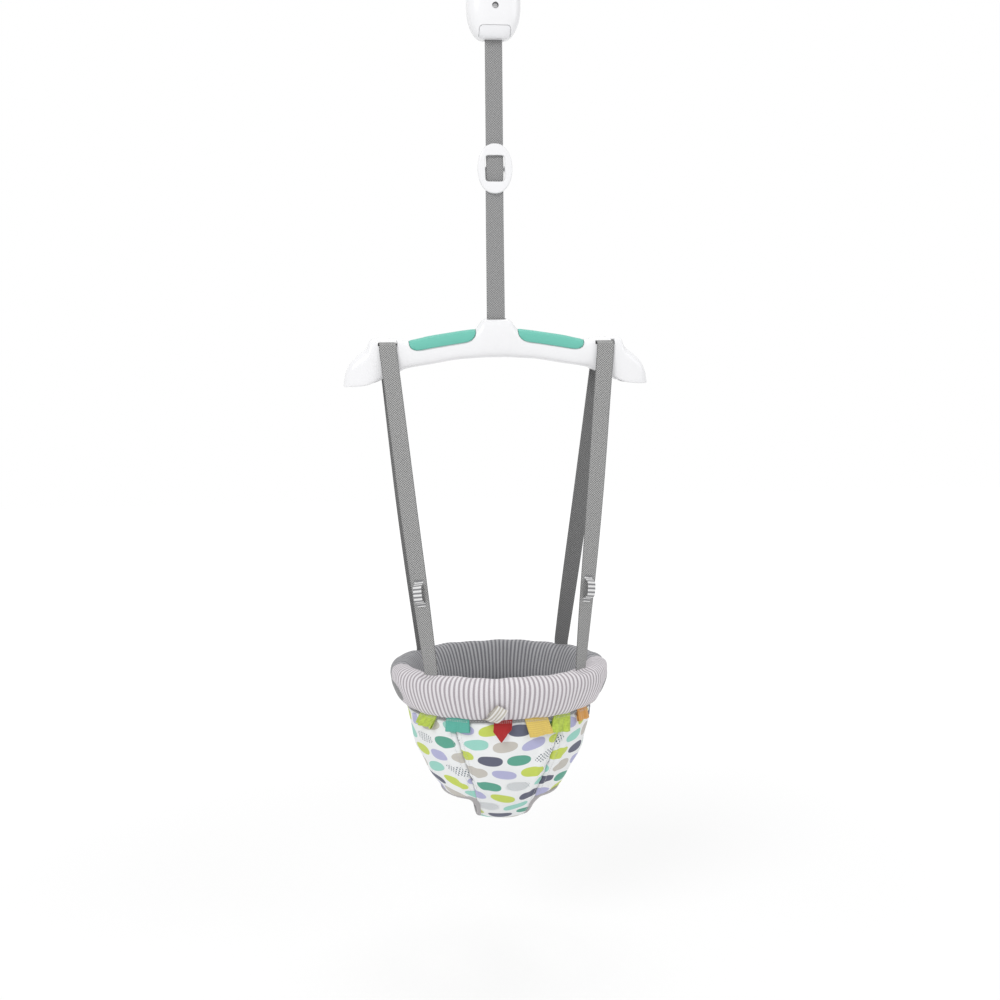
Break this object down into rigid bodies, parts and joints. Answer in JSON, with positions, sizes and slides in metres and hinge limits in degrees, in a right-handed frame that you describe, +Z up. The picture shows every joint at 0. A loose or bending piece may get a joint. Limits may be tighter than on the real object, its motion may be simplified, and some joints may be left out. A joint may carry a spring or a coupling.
{
  "type": "baby doorway jumper",
  "caption": "Baby doorway jumper: a door-frame clamp on a spring housing, webbing with a slide buckle, an arched spreader bar, and a padded ring seat with a cloth pouch.",
  "frame": {"origin": "the middle of the door clamp's grip, between the faces of the two jaw pads", "axes": "+Z up along the strap, +X to the right along the spreader bar as seen from the front, -Y towards the front, where the buckle and the striped half of the ring face"},
  "size_m": [0.442, 0.292, 1.4167],
  "materials": {
    "white_plastic": "glossy moulded",
    "white_trim": "satin moulded",
    "teal_grip": "soft matte",
    "jaw_rubber": "matte, grooved",
    "steel": "bright drawn",
    "grey_plastic": "moulded",
    "webbing": "flat weave, speckled",
    "striped_cloth": "ribbed stripes",
    "heather_cloth": "heather stripes",
    "grey_cloth": "plain weave",
    "pouch_cloth": "plain weave, printed with ovals",
    "lime_ribbon": "ribbed ribbon",
    "teal_ribbon": "satin ribbon",
    "red_ribbon": "satin ribbon",
    "yellow_ribbon": "ribbed ribbon",
    "orange_ribbon": "satin ribbon",
    "cream_ribbon": "striped ribbon"
  },
  "bodies": {
    "clamp": {"jaw_pin": "steel", "jaw_spring": "steel", "housing_front": "white_plastic", "housing_rear": "white_plastic", "housing_cover": "white_trim", "front_housing_screw": "steel", "rear_housing_screw_1": "steel", "rear_housing_screw_2": "steel", "rear_housing_screw_3": "steel", "rear_housing_screw_4": "steel", "strap_guide": "white_trim", "bounce_spring": "steel"},
    "front_jaw": {"front_jaw_arm": "white_plastic", "front_jaw_pad": "jaw_rubber"},
    "rear_jaw": {"rear_jaw_arm": "white_plastic", "rear_jaw_pad": "jaw_rubber"},
    "plunger": {"spring_plate": "grey_plastic", "strap_pin": "steel"},
    "strap": {"main_strap": "webbing"},
    "buckle": {"adjuster_buckle": "white_plastic"},
    "roller": {"strap_roller": "white_trim"},
    "bar": {"bar_front": "white_plastic", "bar_rear": "white_plastic", "bar_screw_1": "steel", "bar_screw_2": "steel", "bar_screw_3": "steel", "bar_screw_4": "steel", "left_grip": "teal_grip", "right_grip": "teal_grip", "roller_pin": "steel", "left_end_pin": "steel", "right_end_pin": "steel"},
    "seat": {"left_strap": "webbing", "right_strap": "webbing", "left_toy_loop": "striped_cloth", "right_toy_loop": "striped_cloth", "seat_hoop": "grey_plastic", "front_pad": "striped_cloth", "rear_pad": "heather_cloth", "left_patch": "grey_cloth", "right_patch": "grey_cloth", "seat_binding": "grey_cloth", "pouch_front": "pouch_cloth", "pouch_rear": "pouch_cloth", "pouch_crotch": "pouch_cloth", "pouch_left": "pouch_cloth", "pouch_right": "pouch_cloth", "left_leg_binding": "grey_cloth", "right_leg_binding": "grey_cloth", "tag_lime_left": "lime_ribbon", "tag_teal": "teal_ribbon", "tag_red": "red_ribbon", "tag_yellow": "yellow_ribbon", "tag_lime_right": "lime_ribbon", "tag_orange": "orange_ribbon", "tag_cream": "cream_ribbon"}
  },
  "joints": [
    {"name": "front_jaw_open", "type": "hinge", "parent": "clamp", "child": "front_jaw", "pos_m": [0, 0, -0.112], "axis": [1, 0, 0], "range_deg": [0, 14], "stiffness_Nm_per_rad": 1.5, "springref_deg": -14.9, "deforming": ["jaw_spring"]},
    {"name": "rear_jaw_open", "type": "hinge", "parent": "clamp", "child": "rear_jaw", "pos_m": [0, 0, -0.112], "axis": [-1, 0, 0], "range_deg": [0, 14]},
    {"name": "bounce", "type": "slide", "parent": "clamp", "child": "plunger", "axis": [0, 0, -1], "range_m": [0, 0.06], "stiffness_N_per_m": 1500, "springref_m": -0.014, "deforming": ["bounce_spring"]},
    {"name": "strap_swing", "type": "hinge", "parent": "plunger", "child": "strap", "pos_m": [0, 0, -0.265], "axis": [1, 0, 0], "range_deg": [-15, 15]},
    {"name": "buckle_slide", "type": "slide", "parent": "strap", "child": "buckle", "axis": [0, 0, 1], "range_m": [-0.12, 0.12], "deforming": ["main_strap"]},
    {"name": "loop_shorten", "type": "slide", "parent": "buckle", "child": "roller", "axis": [0, 0, 1], "range_m": [-0.06, 0.06]},
    {"name": "bar_rock", "type": "hinge", "parent": "roller", "child": "bar", "pos_m": [0, 0, -0.679], "axis": [1, 0, 0], "range_deg": [-15, 15]},
    {"name": "seat_swing", "type": "hinge", "parent": "bar", "child": "seat", "pos_m": [0, 0, -0.6961], "axis": [1, 0, 0], "range_deg": [-6, 6]}
  ],
  "couplings": [
    {"joint": "rear_jaw_open", "follows": "front_jaw_open", "ratio": 1},
    {"joint": "loop_shorten", "follows": "buckle_slide", "ratio": -0.5}
  ]
}
